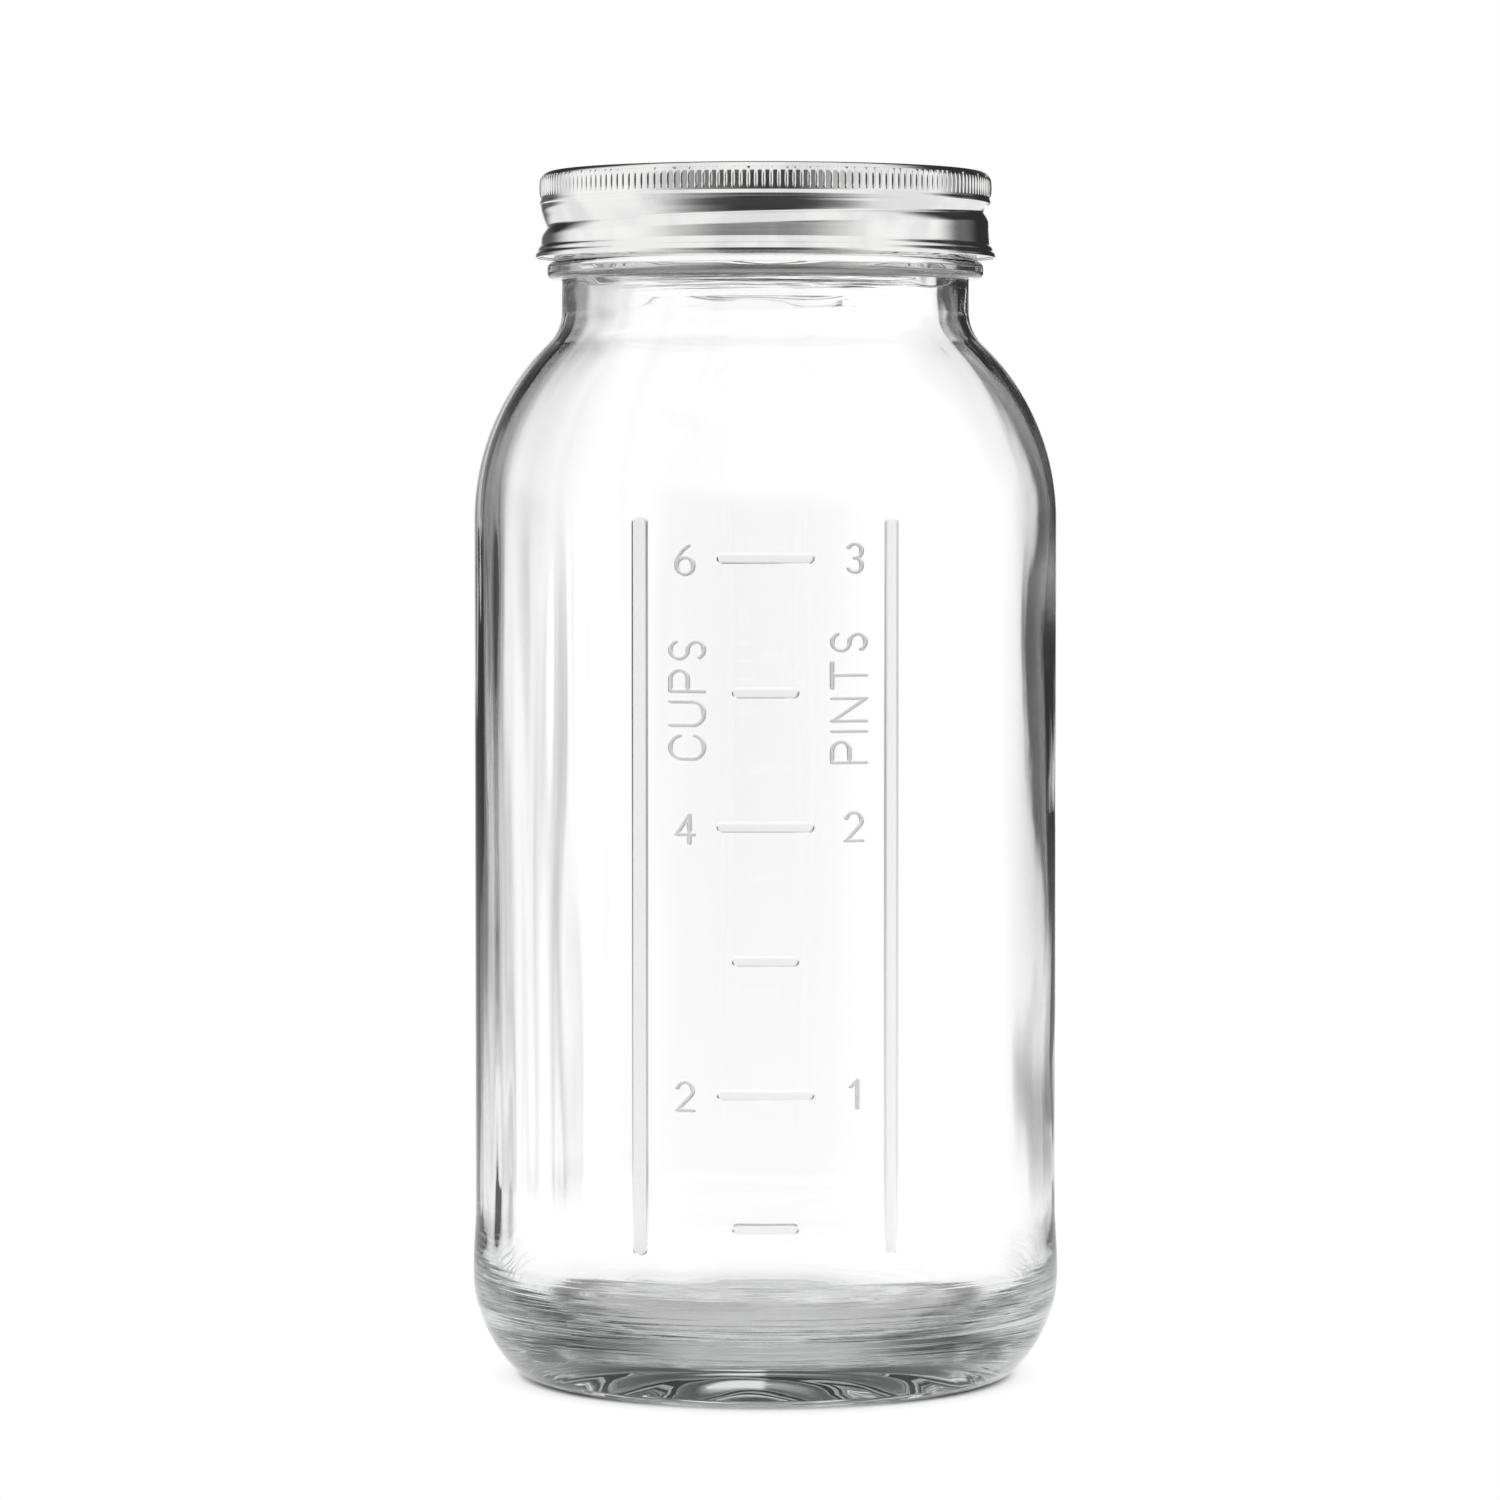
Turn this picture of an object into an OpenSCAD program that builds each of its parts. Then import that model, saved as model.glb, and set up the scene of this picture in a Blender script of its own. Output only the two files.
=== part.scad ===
// Wide-mouth glass canning jar with a flat lid, a sealing ring and a rolled screw band
// Millimetres. The jar stands on z = 0 with its axis on Z, and its graduations face -Y.

/* [Glass body] */
// Outer diameter of the straight wall
body_d = 114.2; // [96:0.1:140]
// Height of the glass from the bearing ring to the rim
jar_h = 235; // [190:0.5:290]
// Thickness of the wall, the shoulder and the neck
wall = 2.4; // [1.8:0.1:3.4]
// Radius of the convex shoulder
shoulder_r = 48; // [30:0.5:54]
// Radius of the hollow curve from the shoulder into the neck
neck_fillet_r = 8.4; // [6:0.2:20]

/* [Heel and base] */
// How far the heel stands out from the wall
heel_swell = 0.5; // [0:0.1:1]
// Height of the widest part of the heel
heel_z = 20.5; // [17:0.5:26]
// Radius of the heel curve
heel_r = 26; // [21:0.5:34]
// Radius of the corner that rolls onto the bearing ring
foot_r = 7; // [4:0.5:9]
// Length of the blend from the heel swell into the wall
swell_blend = 14; // [8:1:24]
// Width of the flat bearing ring
bearing_w = 3.6; // [2:0.2:6]
// Height of the push-up under the base
push_up = 4; // [2:0.25:6]
// Thickness of the base glass at the middle
base_t = 7; // [4:0.5:10]
// How far the floor rises from its edge to the middle
floor_crown = 1.2; // [0.4:0.1:2]
// Radius of the inner corner between floor and wall
inner_heel_r = 15; // [8:0.5:18]

/* [Finish] */
// Inner diameter of the mouth
mouth_d = 75; // [62:0.5:90]
// Thickness of the glass at the finish, without its thread
finish_wall = 3.9; // [3:0.1:5]
// Distance from the rim down to the end of the neck fillet
neck_drop = 26; // [22:0.5:30]
// Distance from the rim down to the middle of the transfer bead
bead_drop = 18; // [17:0.1:19]
// Height of the transfer bead
bead_h = 3.4; // [2:0.1:4]
// How far the transfer bead stands out from the finish
bead_out = 1.35; // [0.6:0.05:1.4]
// Rounding of the transfer bead's edges
bead_edge_r = 0.6; // [0.2:0.1:0.6]
// Rounding of the rim's edges
rim_edge_r = 0.9; // [0.3:0.1:1.2]

/* [Graduations] */
// Height of the lowest dash
first_mark_z = 35.6; // [30:0.1:40]
// Volume between one dash and the next, in cubic millimetres (one US cup)
mark_volume = 236588; // [200000:1000:260000]
// Least height of straight wall above the top dash
mark_margin = 5; // [2:0.5:10]
// Length of the long dashes, at every second cup
long_dash = 18.6; // [14:0.2:24]
// Length of the short dashes
short_dash = 12.9; // [8:0.2:14]
// Height of a dash
dash_h = 2.3; // [1.4:0.1:3]
// Distance from the axis to the middle of each upright rib
rib_x = 23.6; // [18:0.2:28]
// Width of an upright rib
rib_w = 3.3; // [2:0.1:4]
// How far the ribs run down past the lowest dash
rib_run = 5.8; // [0:0.1:10]
// How far the ribs run up past the start of the shoulder
rib_over = 1.2; // [0.3:0.1:2]
// How far the ribs and dashes stand out from the wall
mark_raise = 0.45; // [0.2:0.05:0.5]

/* [Flat lid and seal] */
// Thickness of the lid's sheet
lid_t = 0.25; // [0.2:0.05:0.4]
// How far the lid reaches past the finish
lid_overhang = 1.6; // [1.2:0.1:2]
// Radius of the lid's turned-down edge
lid_edge_r = 1.2; // [0.9:0.1:1.4]
// Straight depth of the turned-down edge
lid_hem = 0.5; // [0.2:0.1:0.8]
// How far the middle panel lies below the outer channel
panel_drop = 0.9; // [0.5:0.1:1.4]
// Width of the sloping step around the panel
panel_step = 3; // [2:0.25:4]
// Radius of the level button at the middle of the panel
button_r = 13; // [8:0.5:16]
// How far the button rises above the panel
button_rise = 0.4; // [0.1:0.1:0.6]
// Thickness of the sealing ring
seal_h = 0.65; // [0.5:0.05:1]
// How far the sealing ring reaches inside the mouth's edge
seal_lap = 0.3; // [0.1:0.05:0.5]

/* [Screw band] */
// Thickness of the band's sheet
band_t = 0.3; // [0.2:0.05:0.4]
// Height of the band
band_h = 16.9; // [16.4:0.1:17.2]
// Width of the flange that holds the lid down, from the lid's edge
flange_w = 3.8; // [3:0.1:5]
// Radius of the band's top corner, outside
corner_r = 2.4; // [1.6:0.1:2.8]
// Gap between the lid's edge and the band
band_gap = 0.7; // [0.5:0.1:1.2]
// Gap between the lid's top and the flange, so that the band turns
flange_gap = 0.05; // [0.03:0.01:0.1]
// Height of the knurled belt below the top corner
knurl_h = 2.8; // [2:0.1:3.4]
// How far the knurl runs up onto the corner
knurl_over = 0.7; // [0:0.1:1]
// Distance from one ridge of the knurl to the next
knurl_pitch = 1.45; // [1:0.05:2]
// How far the knurl's ridges stand out from the sheet
knurl_rise = 0.2; // [0.1:0.05:0.3]
// How far the wall steps in below the knurled belt
knurl_step = 0.25; // [0.1:0.05:0.4]
// Depth from the band's top to the middle of the rolled groove
groove_drop = 10; // [9.6:0.1:10.4]
// Gap between the finish and the rolled groove, which clears the thread
groove_gap = 1.05; // [0.9:0.05:1.2]
// Half height of the rolled groove, from its middle to the full wall
groove_half = 2.2; // [1.8:0.1:2.4]
// Height of the flare above the lower edge
flare_h = 0.9; // [0.6:0.1:1.2]
// How far the flare stands out from the wall
flare_out = 1.4; // [0.8:0.1:1.6]

/* [Hidden] */
$fn = 128;
arc_steps = 14;
mark_root = 1;
knurl_root = 0.02;

body_r = body_d / 2;
bore_r = body_r - wall;
mouth_r = mouth_d / 2;
neck_r = mouth_r + wall;
finish_r = mouth_r + finish_wall;
bead_r = finish_r + bead_out;
bead_z = jar_h - bead_drop;
heel_out_r = body_r + heel_swell;

// The foot corner rolls inside the heel curve and touches it where their centres line up
heel_turn = asin((foot_r - heel_z) / (heel_r - foot_r));
foot_x = heel_out_r - heel_r + (heel_r - foot_r) * cos(heel_turn);

// The shoulder hangs from the neck: its two arcs touch where their centres line up
neck_z = jar_h - neck_drop;
shoulder_dx = (neck_r + neck_fillet_r) - (body_r - shoulder_r);
shoulder_dz = sqrt(pow(shoulder_r + neck_fillet_r, 2) - pow(shoulder_dx, 2));
shoulder_z = neck_z - shoulder_dz;
shoulder_turn = atan2(shoulder_dz, shoulder_dx);

floor_z = push_up + base_t - floor_crown;
floor_r = bore_r - inner_heel_r;
mark_pitch = mark_volume / (PI * bore_r * bore_r);

// As many dashes as the straight wall has room for, and ribs up to just past the shoulder's start
mark_count = 1 + floor((shoulder_z - mark_margin - first_mark_z) / mark_pitch);
rib_bottom = first_mark_z - rib_run;
rib_top = shoulder_z + rib_over;

lid_r = finish_r + lid_overhang;
lid_top = jar_h + seal_h + lid_t;
lid_flat_r = lid_r - lid_edge_r;
seal_in_r = mouth_r + seal_lap;
panel_r = seal_in_r - lid_t - panel_step;

band_top = lid_top + flange_gap + band_t;
band_low = band_top - band_h;
band_wall_r = lid_r + band_gap + band_t / 2;
groove_r = finish_r + groove_gap + band_t / 2;
groove_z = band_top - groove_drop;
hole_r = lid_r - flange_w;
belt_r = band_wall_r + band_t / 2;
belt_z = band_top - corner_r - knurl_h;
knurl_count = round(2 * PI * belt_r / knurl_pitch);

// Points on an arc about [cx, cz], from angle a0 to angle a1
function arc(cx, cz, r, a0, a1, n = arc_steps) =
    [for (i = [0 : n]) let (a = a0 + (a1 - a0) * i / n) [cx + r * cos(a), cz + r * sin(a)]];

// Points on a shallow crown from the axis, at height z0 + rise, down to [r, z0]
function crown(r, z0, rise, n = arc_steps) =
    [for (i = [0 : n]) let (x = r * i / n) [x, z0 + rise * (1 - pow(x / r, 2))]];

// Points on a smooth step from [x0, z0] to [x1, z1], upright at both ends
function upright_step(x0, z0, x1, z1, n = arc_steps) =
    [for (i = [0 : n]) [x0 + (x1 - x0) * (1 - cos(180 * i / n)) / 2, z0 + (z1 - z0) * i / n]];

// Points on a smooth step from [x0, z0] to [x1, z1], level at both ends
function level_step(x0, z0, x1, z1, n = arc_steps) =
    [for (i = [0 : n]) [x0 + (x1 - x0) * i / n, z0 + (z1 - z0) * (1 - cos(180 * i / n)) / 2]];

// A path of sheet metal thickened by t, half to each side
function unit(v) = v / norm(v);
function side(path, i) =
    let (a = path[max(i - 1, 0)], b = path[min(i + 1, len(path) - 1)], u = unit(b - a)) [-u[1], u[0]];
function sheet(path, t) = concat(
    [for (i = [0 : len(path) - 1]) path[i] + side(path, i) * t / 2],
    [for (i = [len(path) - 1 : -1 : 0]) path[i] - side(path, i) * t / 2]);

// The outside of the glass, from the middle of the base up to the rim
function outer_line() = concat(
    crown(foot_x - bearing_w, 0, push_up),
    arc(foot_x, foot_r, foot_r, -90, heel_turn),
    arc(heel_out_r - heel_r, heel_z, heel_r, heel_turn, 0),
    upright_step(heel_out_r, heel_z + 1, body_r, heel_z + swell_blend),
    arc(body_r - shoulder_r, shoulder_z, shoulder_r, 0, shoulder_turn, 2 * arc_steps),
    arc(neck_r + neck_fillet_r, neck_z, neck_fillet_r, 180 + shoulder_turn, 180),
    [[neck_r, bead_z - bead_h / 2]],
    arc(bead_r - bead_edge_r, bead_z - bead_h / 2 + bead_edge_r, bead_edge_r, -90, 0, 6),
    arc(bead_r - bead_edge_r, bead_z + bead_h / 2 - bead_edge_r, bead_edge_r, 0, 90, 6),
    [[finish_r, bead_z + bead_h / 2]],
    arc(finish_r - rim_edge_r, jar_h - rim_edge_r, rim_edge_r, 0, 90, 6));

// The inside of the glass, from the rim down to the middle of the floor
function inner_line() = concat(
    arc(mouth_r + rim_edge_r, jar_h - rim_edge_r, rim_edge_r, 90, 180, 6),
    arc(neck_r + neck_fillet_r, neck_z, neck_fillet_r + wall, 180, 180 + shoulder_turn),
    arc(body_r - shoulder_r, shoulder_z, shoulder_r - wall, shoulder_turn, 0, 2 * arc_steps),
    arc(floor_r, floor_z + inner_heel_r, inner_heel_r, 0, -90),
    [for (p = [arc_steps - 1 : -1 : 0]) crown(floor_r, floor_z, floor_crown)[p]]);

// An upright or level bar with round ends, between two points
module round_bar(a, b, w) {
    length = norm(b - a);
    translate(a) rotate(atan2(b[1] - a[1], b[0] - a[0])) {
        translate([0, -w / 2]) square([length, w]);
        circle(d = w);
        translate([length, 0]) circle(d = w);
    }
}

// The outlines of the ribs and dashes, seen from the front
module graduation_outlines() {
    for (s = [-1, 1])
        round_bar([s * rib_x, rib_bottom + rib_w / 2], [s * rib_x, rib_top - rib_w / 2], rib_w);
    for (i = [0 : mark_count - 1]) {
        half = (i % 2 == 0 ? short_dash : long_dash) / 2 - dash_h / 2;
        z = first_mark_z + i * mark_pitch;
        round_bar([-half, z], [half, z], dash_h);
    }
}

// The ribs and dashes as raised glass that follows the wall
module graduations() {
    intersection() {
        rotate([90, 0, 0]) linear_extrude(body_r + mark_raise + 1) graduation_outlines();
        difference() {
            translate([0, 0, rib_bottom - 5])
                cylinder(h = rib_top - rib_bottom + 10, r = body_r + mark_raise);
            translate([0, 0, rib_bottom - 6])
                cylinder(h = rib_top - rib_bottom + 12, r = body_r - mark_root);
        }
    }
}

module glass_jar() {
    color([0.85, 0.92, 0.93, 0.5]) union() {
        rotate_extrude() polygon(concat(outer_line(), inner_line()));
        graduations();
    }
}

module flat_lid() {
    mid = lid_top - lid_t / 2;
    edge_r = lid_edge_r - lid_t / 2;
    panel_z = mid - panel_drop;
    path = concat(
        [[0, panel_z + button_rise]],
        level_step(button_r, panel_z + button_rise, button_r + panel_step, panel_z),
        level_step(panel_r, panel_z, panel_r + panel_step, mid),
        arc(lid_flat_r, mid - edge_r, edge_r, 90, 0, 8),
        [[lid_flat_r + edge_r, mid - edge_r - lid_hem]]);
    color("silver") rotate_extrude() polygon(sheet(path, lid_t));
}

module sealing_ring() {
    color("dimgray") rotate_extrude()
        translate([seal_in_r, jar_h]) square([lid_flat_r - seal_in_r, seal_h]);
}

// The ridges of the knurl, rooted in the middle of the sheet
module knurl() {
    translate([0, 0, belt_z]) linear_extrude(knurl_h + knurl_over) difference() {
        polygon([for (i = [0 : 2 * knurl_count - 1])
            let (a = 180 * i / knurl_count, r = belt_r + (i % 2 == 0 ? knurl_rise : knurl_root))
            [r * cos(a), r * sin(a)]]);
        circle(r = band_wall_r);
    }
}

module screw_band() {
    mid = band_top - band_t / 2;
    bend_r = corner_r - band_t / 2;
    wall_r = band_wall_r - knurl_step;
    flare_z = band_low + flare_h;
    path = concat(
        [[hole_r, mid]],
        arc(band_wall_r - bend_r, mid - bend_r, bend_r, 90, 0, 10),
        upright_step(band_wall_r, belt_z, wall_r, belt_z - 0.6, 4),
        upright_step(wall_r, groove_z + groove_half, groove_r, groove_z),
        upright_step(groove_r, groove_z - 0.3, wall_r, groove_z - groove_half),
        arc(wall_r + flare_h, flare_z, flare_h, 180, 250, 6),
        [[wall_r + flare_out, band_low + band_t / 2]]);
    color("lightgray") union() {
        rotate_extrude() polygon(sheet(path, band_t));
        knurl();
    }
}

glass_jar();
flat_lid();
sealing_ring();
screw_band();
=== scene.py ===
# %% [markdown]
# A wide-mouth canning jar for sourdough starter
#
# The object is one moulded glass jar, a stamped flat lid, a ring of sealing compound under it and a rolled
# screw band. The construction model gives every piece its place and size, and this file gives the pieces
# their looks: wavy glass with raised graduations, tinplate with a rolled thread and a knurl, and a plain
# white studio. Each step has a cell of words and then a cell of code.

import math

import bmesh
import bpy
import numpy as np
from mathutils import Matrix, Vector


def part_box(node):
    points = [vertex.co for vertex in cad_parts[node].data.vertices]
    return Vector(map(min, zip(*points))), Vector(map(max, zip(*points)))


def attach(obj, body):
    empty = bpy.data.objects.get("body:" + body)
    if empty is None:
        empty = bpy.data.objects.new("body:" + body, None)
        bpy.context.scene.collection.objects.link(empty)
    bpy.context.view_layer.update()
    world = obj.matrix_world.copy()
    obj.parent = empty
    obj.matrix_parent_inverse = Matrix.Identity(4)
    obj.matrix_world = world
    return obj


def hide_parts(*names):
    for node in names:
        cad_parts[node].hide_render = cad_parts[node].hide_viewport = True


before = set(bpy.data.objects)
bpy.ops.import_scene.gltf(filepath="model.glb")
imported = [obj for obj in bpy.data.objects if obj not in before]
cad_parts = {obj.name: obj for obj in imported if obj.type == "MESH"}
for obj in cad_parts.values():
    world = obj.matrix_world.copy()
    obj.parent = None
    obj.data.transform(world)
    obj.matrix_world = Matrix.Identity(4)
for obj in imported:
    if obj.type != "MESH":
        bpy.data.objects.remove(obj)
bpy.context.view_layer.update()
MM = 0.001

# %% [markdown]
# Sizes
#
# The heights and radii that other pieces share are read from the frame, so that this file follows the
# construction model. Sizes that only the glass or the sheet metal has are written here once, in millimetres.
# A wide-mouth closure is a standard thing: its thread climbs 6.35 mm in a turn, four turns to the inch.

# %% Read the shared sizes from the frame
jar_box = [v / MM for v in (*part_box("glass_jar")[0], *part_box("glass_jar")[1])]
lid_box = [v / MM for v in (*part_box("flat_lid")[0], *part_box("flat_lid")[1])]
seal_box = [v / MM for v in (*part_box("sealing_ring")[0], *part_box("sealing_ring")[1])]
band_box = [v / MM for v in (*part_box("screw_band")[0], *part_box("screw_band")[1])]

rim_z = jar_box[5]
heel_out_r = jar_box[3]
lid_r = lid_box[3]
lid_top = lid_box[5]
seal_r = seal_box[3]
band_top = band_box[5]
band_low = band_box[2]
lip_r = band_box[3]
print("rim", round(rim_z, 2), "heel radius", round(heel_out_r, 2), "band", round(band_low, 2), round(band_top, 2))

# %% Name the sizes of the glass
heel_swell = 0.5
body_r = heel_out_r - heel_swell
wall = 2.4
bore_r = body_r - wall
shoulder_r = 48
neck_fillet_r = 8.4
heel_z = 20.5
heel_r = 26
foot_r = 7
swell_blend = 14
bearing_w = 3.6
push_up = 4
base_t = 7
floor_crown = 1.2
inner_heel_r = 15
mouth_r = 37.5
finish_wall = 3.9
finish_r = mouth_r + finish_wall
neck_r = mouth_r + wall
neck_z = rim_z - 26
bead_z = rim_z - 18
bead_h = 3.4
bead_r = finish_r + 1.35
bead_edge_r = 1.3
root_r = 0.3
rim_edge_r = 0.9
floor_z = push_up + base_t - floor_crown
floor_r = bore_r - inner_heel_r

# %% Name the thread that the glass and the band share
thread_pitch = 6.35
groove_z = band_top - 9.3
thread_z = groove_z + 1.7
thread_rise = 1.3
thread_half = 1.45
thread_run = 225
thread_fade = 40

# %% [markdown]
# Outlines and turned bodies
#
# Jar, lid, seal and band are all turned shapes. One way is a curve with a Screw modifier; another is to
# write the rings of points straight into a mesh. The second is chosen, because the glass needs a different
# wobble on its inner face than on its outer one, and the rows have to lie closer together at the thread.
# An outline is a list of (radius, height) points made of arcs, crowns and smooth steps.

# %% Helpers for outlines
def arc(cx, cz, r, start, end, count=14):
    """Points on an arc about (cx, cz), from one angle to another, in degrees."""
    angles = np.radians(np.linspace(start, end, count + 1))
    return [(cx + r * math.cos(a), cz + r * math.sin(a)) for a in angles]


def crown(r, z, rise, count=14):
    """Points on a shallow crown, from its middle on the axis out to its edge."""
    return [(x, z + rise * (1 - (x / r) ** 2)) for x in np.linspace(0, r, count + 1)]


def upright_step(x0, z0, x1, z1, count=14):
    """Points on a smooth step that is upright at both ends."""
    return [(x0 + (x1 - x0) * (1 - math.cos(math.pi * t)) / 2, z0 + (z1 - z0) * t)
            for t in np.linspace(0, 1, count + 1)]


def level_step(x0, z0, x1, z1, count=14):
    """Points on a smooth step that is level at both ends."""
    return [(x0 + (x1 - x0) * t, z0 + (z1 - z0) * (1 - math.cos(math.pi * t)) / 2)
            for t in np.linspace(0, 1, count + 1)]


def refine(points, gap):
    """The same line with no two points further apart than the gap, and none doubled."""
    line = [np.array(points[0], float)]
    for p in points[1:]:
        p = np.array(p, float)
        length = np.linalg.norm(p - line[-1])
        if length < 0.005:
            continue
        start = line[-1]
        parts = math.ceil(length / gap)
        line += [start + (p - start) * (i + 1) / parts for i in range(parts)]
    return line


def sheet(path, t):
    """The closed outline of a sheet of metal: the path thickened by t, half to each side."""
    path = np.array(path, float)
    along = np.gradient(path, axis=0)
    along /= np.linalg.norm(along, axis=1)[:, None]
    across = np.stack([-along[:, 1], along[:, 0]], axis=1) * t / 2
    return np.concatenate([path + across, (path - across)[::-1]])


# %% A helper that turns an outline into a closed mesh
FINE_UP = 24
FINE_ROUND = 12


def shares(low, high, wanted):
    """A span of whole units cut into halves, or into thirds where it is odd."""
    if not wanted or high - low < 2:
        return [(low, high)]
    count = 2 if (high - low) % 2 == 0 else 3
    step = (high - low) // count
    return [(low + i * step, low + (i + 1) * step) for i in range(count)]


def turn(name, outline, steps, shape=None, finer=None, finer_rows=()):
    """Turns an outline round the Z axis. Ends on the axis become poles, and any other outline is a loop.
    shape(angle, radius, height, row) may move the points. finer(low, high, start, end) says whether a face of
    the finer rows, between two heights and two angles, has to be cut upwards, and round. Cut faces share
    their points with their neighbours, so the mesh stays closed. Each point keeps its row of the outline for
    the materials. Radii and heights are in millimetres."""
    rows = np.array(outline, float)
    poles = rows[0][0] < 1e-6 and rows[-1][0] < 1e-6
    count = len(rows) - 1 if poles else len(rows)
    round_units = steps * FINE_ROUND
    unit_angle = 2 * math.pi / round_units

    def key(v, u):
        return v if poles else v % (count * FINE_UP), u % round_units

    def place(v):
        """Radius and height at a unit of the outline."""
        i, part = np.divmod(np.array(v), FINE_UP)
        part = (part / FINE_UP)[..., None]
        return rows[i % len(rows)] * (1 - part) + rows[(i + 1) % len(rows)] * part

    faces = []

    def cut(v0, v1, u0, u1):
        low, high = place([v0, v1])[:, 1]
        up, across = finer(low, high, u0 * unit_angle, u1 * unit_angle)
        spans = [(v, u) for v in shares(v0, v1, up) for u in shares(u0, u1, across)]
        if len(spans) == 1:
            faces.append((v0, v1, u0, u1))
        else:
            for v, u in spans:
                cut(*v, *u)

    for i in range(count):
        for j in range(steps):
            face = (i * FINE_UP, (i + 1) * FINE_UP, j * FINE_ROUND, (j + 1) * FINE_ROUND)
            if i in finer_rows:
                cut(*face)
            else:
                faces.append(face)
    corners = {key(v, u) for v0, v1, u0, u1 in faces for v in (v0, v1) for u in (u0, u1)}
    keys = sorted(corners)
    number = {k: n for n, k in enumerate(keys)}
    touched = {i + side for i in finer_rows for side in (-1, 0, 1)}

    def ring(v0, v1, u0, u1):
        """The points round a face, with those that a finer neighbour has put on its edges."""
        if v0 // FINE_UP not in touched:
            walk = [(v0, u0), (v0, u1), (v1, u1), (v1, u0)]
        else:
            walk = ([(v0, u) for u in range(u0, u1)] + [(v, u1) for v in range(v0, v1)]
                    + [(v1, u) for u in range(u1, u0, -1)] + [(v, u0) for v in range(v1, v0, -1)])
        return [number[k] for k in (key(*p) for p in walk) if k in number]

    units = np.array(keys)
    r, z = place(units[:, 0]).T
    a = units[:, 1] * unit_angle
    if shape:
        r, z = shape(a, r, z, units[:, 0] / FINE_UP)
    points = np.stack([r * np.cos(a), r * np.sin(a), z], axis=1) * MM
    if poles:
        for end in (0, count * FINE_UP):
            points[units[:, 0] == end] = (0, 0, z[units[:, 0] == end][0] * MM)
    bm = bmesh.new()
    layer = bm.verts.layers.float.new("row")
    verts = [bm.verts.new(p) for p in points]
    for vert, unit in zip(verts, units[:, 0]):
        vert[layer] = unit / FINE_UP
    for face in faces:
        bm.faces.new([verts[n] for n in ring(*face)])
    bmesh.ops.remove_doubles(bm, verts=bm.verts, dist=1e-7)
    if bm.calc_volume(signed=True) < 0:
        bmesh.ops.reverse_faces(bm, faces=bm.faces)
    mesh = bpy.data.meshes.new(name)
    bm.to_mesh(mesh)
    bm.free()
    mesh.shade_smooth()
    made = bpy.data.objects.new(name, mesh)
    bpy.context.scene.collection.objects.link(made)
    print(name, len(mesh.polygons), "faces")
    return made


# %% [markdown]
# Node trees as arithmetic
#
# Geometry trees and materials are both graphs of sockets. Wiring Math nodes one by one is slow to read, so
# a small class wraps a socket, and the usual operators add the nodes. Any other node comes from one method
# that takes its type, its settings and its sockets, in that order, because a setting can change the sockets.

# %% The socket class and the bench it works on
class Wire:
    """A socket that takes part in arithmetic."""

    def __init__(self, bench, socket):
        self.bench = bench
        self.socket = socket

    def math(self, operation, *values):
        return self.bench.wire("ShaderNodeMath", {"operation": operation}, values)

    def __add__(self, other):
        return self.math("ADD", self, other)

    def __radd__(self, other):
        return self.math("ADD", other, self)

    def __sub__(self, other):
        return self.math("SUBTRACT", self, other)

    def __rsub__(self, other):
        return self.math("SUBTRACT", other, self)

    def __mul__(self, other):
        return self.math("MULTIPLY", self, other)

    def __rmul__(self, other):
        return self.math("MULTIPLY", other, self)

    def __truediv__(self, other):
        return self.math("DIVIDE", self, other)

    def __pow__(self, other):
        return self.math("POWER", self, other)

    def __gt__(self, other):
        return self.math("GREATER_THAN", self, other)

    def __lt__(self, other):
        return self.math("LESS_THAN", self, other)

    def call(self, operation):
        return self.math(operation, self)

    def ramp(self, low, high):
        """0 below low, 1 above high, and smooth between them."""
        return self.bench.wire("ShaderNodeMapRange", {"interpolation_type": "SMOOTHSTEP"},
                               {"Value": self, "From Min": low, "From Max": high})


class Bench:
    """A node tree, with one method that adds any node."""

    def __init__(self, tree):
        self.tree = tree

    def node(self, kind, settings=None, sockets=()):
        made = self.tree.nodes.new(kind)
        for name, value in (settings or {}).items():
            if name == "stops":
                self.set_stops(made.color_ramp, value)
            else:
                setattr(made, name, value)
        pairs = sockets.items() if isinstance(sockets, dict) else enumerate(sockets)
        for key, value in pairs:
            if isinstance(value, Wire):
                self.tree.links.new(value.socket, made.inputs[key])
            else:
                made.inputs[key].default_value = value
        return made

    def wire(self, kind, settings=None, sockets=(), out=0):
        return Wire(self, self.node(kind, settings, sockets).outputs[out])

    def set_stops(self, ramp, stops):
        while len(ramp.elements) < len(stops):
            ramp.elements.new(0.5)
        for element, (place, shade) in zip(ramp.elements, stops):
            element.position = place
            element.color = (shade, shade, shade, 1)

    def axes(self, vector):
        """The three parts of a vector."""
        split = self.node("ShaderNodeSeparateXYZ", None, [vector])
        return [Wire(self, s) for s in split.outputs]

    def vector(self, x, y, z):
        return self.wire("ShaderNodeCombineXYZ", None, [x, y, z])

    def blend(self, factor, low, high):
        """A colour between two others. The colour sockets of a Mix node are its numbers 6 and 7."""
        return self.wire("ShaderNodeMix", {"data_type": "RGBA"}, {0: factor, 6: low, 7: high}, out=2)


# %% Helpers for geometry trees
def geometry_bench(name, inputs):
    """A geometry tree with named inputs. Returns its bench and its inputs as wires."""
    tree = bpy.data.node_groups.new(name, "GeometryNodeTree")
    tree.interface.new_socket("Geometry", in_out="INPUT", socket_type="NodeSocketGeometry")
    tree.interface.new_socket("Geometry", in_out="OUTPUT", socket_type="NodeSocketGeometry")
    for label, kind in inputs:
        tree.interface.new_socket(label, in_out="INPUT", socket_type=kind)
    bench = Bench(tree)
    source = bench.node("NodeGroupInput")
    wires = {s.name: Wire(bench, s) for s in source.outputs if s.name}
    return bench, wires


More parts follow.
